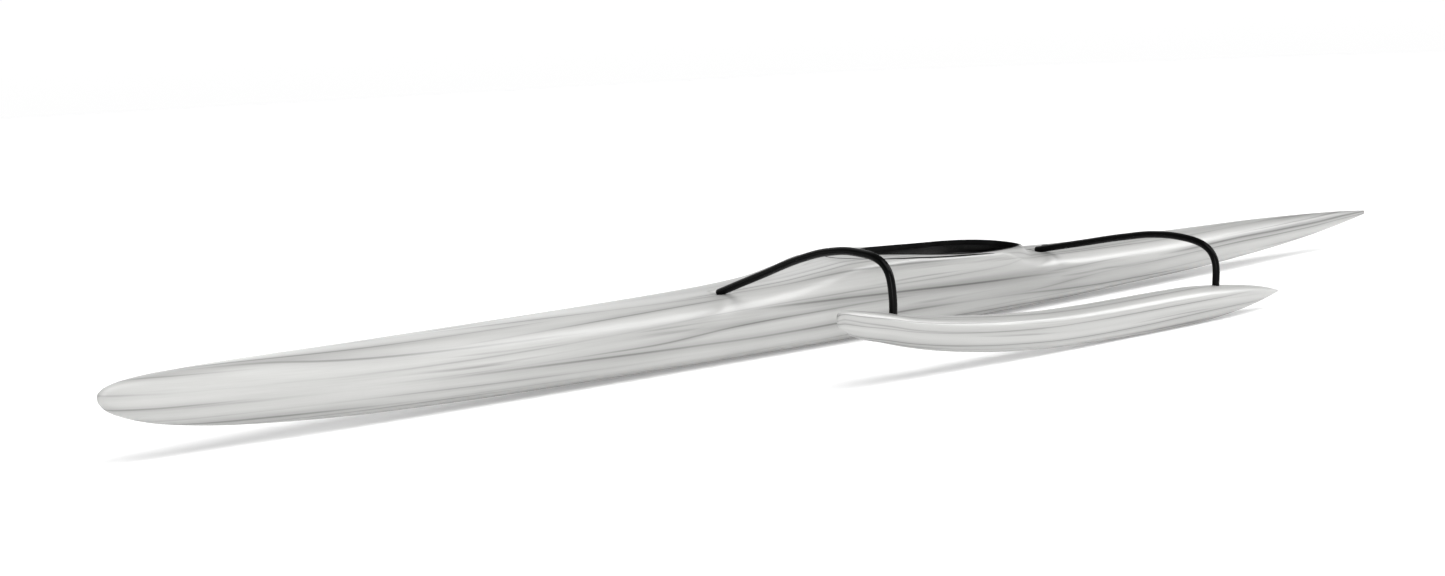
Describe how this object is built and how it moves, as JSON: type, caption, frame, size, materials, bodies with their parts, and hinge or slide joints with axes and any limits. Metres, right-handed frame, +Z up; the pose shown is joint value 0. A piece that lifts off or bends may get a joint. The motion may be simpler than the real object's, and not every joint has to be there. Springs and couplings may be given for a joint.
{
  "type": "one-person outrigger canoe",
  "caption": "Long narrow decked canoe hull with an open cockpit, joined by bent tube struts to a slim float on its port side.",
  "frame": {"origin": "on the floor the boat is parked on, under the middle of its bounding box", "axes": "+X towards the bow, +Y to port where the float is, +Z up; the boat lies as it parks, on keel and float, heeled 3.9 degrees to port"},
  "size_m": [7.3, 1.278, 0.4804],
  "materials": {
    "grey_wood": "pale grey wood grain under clear gloss",
    "black_tube": "glossy black",
    "black_trim": "satin black",
    "dark_liner": "dark grey laminate, satin",
    "black_foam": "matt closed-cell foam",
    "aluminium": "satin"
  },
  "bodies": {
    "root": {"hull_fore": "grey_wood", "hull_mid": "grey_wood", "hull_aft": "grey_wood", "deck_fore": "grey_wood", "deck_mid": "grey_wood", "deck_aft": "grey_wood", "ama_lower": "grey_wood", "ama_upper": "grey_wood", "iako_front": "black_tube", "iako_rear": "black_tube", "cockpit_lip": "black_trim", "vent_plug": "black_trim", "foot_rest": "black_trim", "seat_unit": "dark_liner", "seat_pad": "black_foam", "foot_rail": "aluminium"}
  },
  "joints": []
}
